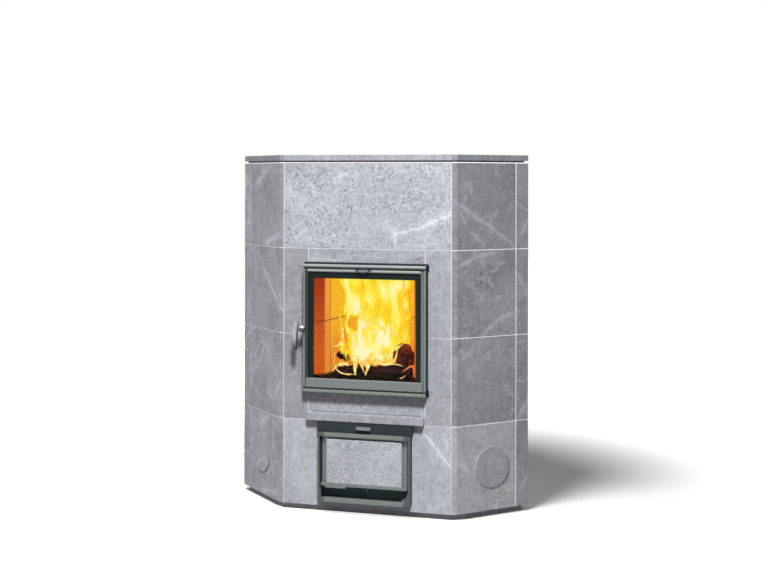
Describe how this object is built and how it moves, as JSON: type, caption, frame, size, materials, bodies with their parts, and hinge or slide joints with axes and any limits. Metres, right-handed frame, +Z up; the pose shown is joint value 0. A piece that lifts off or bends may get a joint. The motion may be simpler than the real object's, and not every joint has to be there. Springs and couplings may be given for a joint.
{
  "type": "soapstone corner heater",
  "caption": "Heat-storing soapstone corner stove with a glazed fire door, stone ledge, stone-faced ash door and round cleaning plugs.",
  "frame": {"origin": "on the floor under the middle of the plan, in the heater's plane of symmetry", "axes": "+Z up, -Y towards the room, so the fire door's face looks along -Y, +X to the right of someone facing the fire door"},
  "size_m": [1.0586, 0.7342, 1.243],
  "materials": {
    "core_stone": "rough",
    "dark_steel": "black, matt",
    "door_metal": "grey, satin",
    "fire_stone": "rough",
    "flue_steel": "plain",
    "grate_iron": "rough",
    "handle_metal": "satin",
    "mantle_stone": "honed",
    "mortar": "matt",
    "plinth_stone": "rough",
    "seal_rope": "woven",
    "slab_stone": "honed",
    "window_glass": "clear"
  },
  "bodies": {
    "heater": {"plinth": "plinth_stone", "base_stone_left": "mantle_stone", "base_stone_right": "mantle_stone", "base_strip": "mantle_stone", "jamb_stones_left": "mantle_stone", "jamb_stones_right": "mantle_stone", "hearth_shelf": "mantle_stone", "sill_stone": "mantle_stone", "lintel_stone": "mantle_stone", "top_front_stone": "mantle_stone", "back_stones_left": "mantle_stone", "back_stones_right": "mantle_stone", "flue_keystone": "mantle_stone", "back_keystones": "mantle_stone", "angled_stone_left_1": "mantle_stone", "angled_stone_left_2": "mantle_stone", "angled_stone_left_3": "mantle_stone", "angled_stone_left_4": "mantle_stone", "angled_stone_right_1": "mantle_stone", "angled_stone_right_2": "mantle_stone", "angled_stone_right_3": "mantle_stone", "angled_stone_right_4": "mantle_stone", "mortar_joints": "mortar", "top_slab": "slab_stone", "slab_neck": "slab_stone", "door_fixed_frame": "dark_steel", "ash_cover": "dark_steel", "kick_plate": "dark_steel", "ash_chamber": "dark_steel", "ash_box": "dark_steel", "ash_frame": "door_metal", "ash_frame_gussets": "door_metal", "door_hinge_pins": "handle_metal", "ash_leaf_pins": "handle_metal", "throat_stones": "fire_stone", "lining_side_stones": "fire_stone", "lining_back_stones": "fire_stone", "firebox_floor": "fire_stone", "firebox_ceiling": "fire_stone", "core_block": "core_stone", "chamber_bearers": "core_stone", "fire_grate": "grate_iron", "flue_collar": "flue_steel"},
    "door": {"door_leaf": "door_metal", "door_glass": "window_glass", "glass_tape_seal": "seal_rope", "door_trim": "door_metal", "door_lower_rail": "door_metal", "door_rope_seal": "seal_rope"},
    "door_handle": {"door_handle": "handle_metal", "latch_spindle": "handle_metal"},
    "air_slide": {"door_air_slide": "door_metal"},
    "ash_leaf": {"ash_leaf": "door_metal", "ash_leaf_grip": "door_metal", "ash_leaf_stone": "mantle_stone"},
    "air_regulator": {"air_regulator": "door_metal"},
    "plug_left": {"cleaning_plug_left": "mantle_stone", "plug_cup_left": "dark_steel"},
    "plug_right": {"cleaning_plug_right": "mantle_stone", "plug_cup_right": "dark_steel"}
  },
  "joints": [
    {"name": "door_swing", "type": "hinge", "parent": "heater", "child": "door", "pos_m": [0.212, -0.326, 0.6415], "axis": [0, 0, 1], "range_deg": [0, 100]},
    {"name": "handle_turn", "type": "hinge", "parent": "door", "child": "door_handle", "pos_m": [-0.217, -0.359, 0.641], "axis": [0, 1, 0], "range_deg": [0, 60]},
    {"name": "air_slide_shift", "type": "slide", "parent": "door", "child": "air_slide", "axis": [1, 0, 0], "range_m": [-0.015, 0.015]},
    {"name": "ash_leaf_tilt", "type": "hinge", "parent": "heater", "child": "ash_leaf", "pos_m": [0, -0.322, 0.102], "axis": [1, 0, 0], "range_deg": [0, 80]},
    {"name": "regulator_shift", "type": "slide", "parent": "heater", "child": "air_regulator", "axis": [1, 0, 0], "range_m": [-0.014, 0.014]},
    {"name": "plug_left_pull", "type": "slide", "parent": "heater", "child": "plug_left", "axis": [-0.7071, -0.7071, 0], "range_m": [0, 0.12]},
    {"name": "plug_right_pull", "type": "slide", "parent": "heater", "child": "plug_right", "axis": [0.7071, -0.7071, 0], "range_m": [0, 0.12]}
  ]
}
